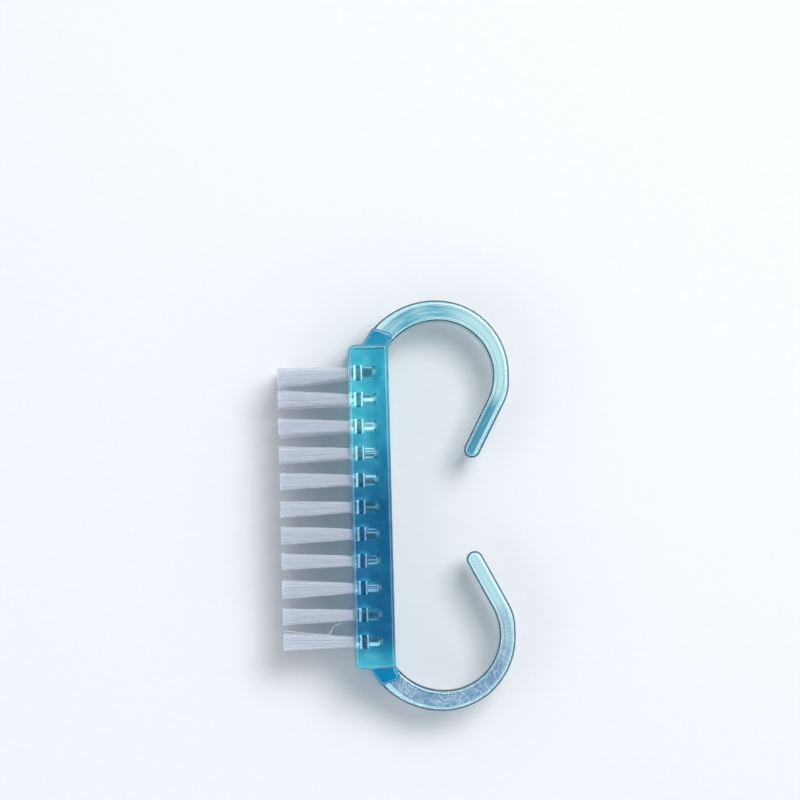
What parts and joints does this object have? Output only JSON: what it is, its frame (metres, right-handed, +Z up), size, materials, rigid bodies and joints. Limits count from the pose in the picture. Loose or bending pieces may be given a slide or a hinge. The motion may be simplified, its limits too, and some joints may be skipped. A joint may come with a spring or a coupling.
{
  "type": "nail brush",
  "caption": "Palm-size nail brush on its side: a clear plastic block with inward-curling hook arms to hold it by, and rows of staple-set nylon tufts along its opposite face.",
  "frame": {"origin": "under the middle of the whole brush, in the plane of the block's side face that it rests on", "axes": "+X from the bristle tips to the hook arms, +Y along the block, +Z up through the brush's depth"},
  "size_m": [0.0388, 0.0688, 0.015],
  "materials": {
    "clear_plastic": "clear turquoise, injection moulded and polished",
    "nylon": "translucent bluish-white filaments with flat-cut ends",
    "anchor_wire": "drawn flat wire, cut to length"
  },
  "bodies": {
    "root": {"handle": "clear_plastic", "tuft_01_1": "nylon", "tuft_01_2": "nylon", "tuft_01_3": "nylon", "tuft_01_4": "nylon", "tuft_02_1": "nylon", "tuft_02_2": "nylon", "tuft_02_3": "nylon", "tuft_02_4": "nylon", "tuft_03_1": "nylon", "tuft_03_2": "nylon", "tuft_03_3": "nylon", "tuft_03_4": "nylon", "tuft_04_1": "nylon", "tuft_04_2": "nylon", "tuft_04_3": "nylon", "tuft_04_4": "nylon", "tuft_05_1": "nylon", "tuft_05_2": "nylon", "tuft_05_3": "nylon", "tuft_05_4": "nylon", "tuft_06_1": "nylon", "tuft_06_2": "nylon", "tuft_06_3": "nylon", "tuft_06_4": "nylon", "tuft_07_1": "nylon", "tuft_07_2": "nylon", "tuft_07_3": "nylon", "tuft_07_4": "nylon", "tuft_08_1": "nylon", "tuft_08_2": "nylon", "tuft_08_3": "nylon", "tuft_08_4": "nylon", "tuft_09_1": "nylon", "tuft_09_2": "nylon", "tuft_09_3": "nylon", "tuft_09_4": "nylon", "tuft_10_1": "nylon", "tuft_10_2": "nylon", "tuft_10_3": "nylon", "tuft_10_4": "nylon", "tuft_11_1": "nylon", "tuft_11_2": "nylon", "tuft_11_3": "nylon", "tuft_11_4": "nylon", "anchors": "anchor_wire"}
  },
  "joints": []
}
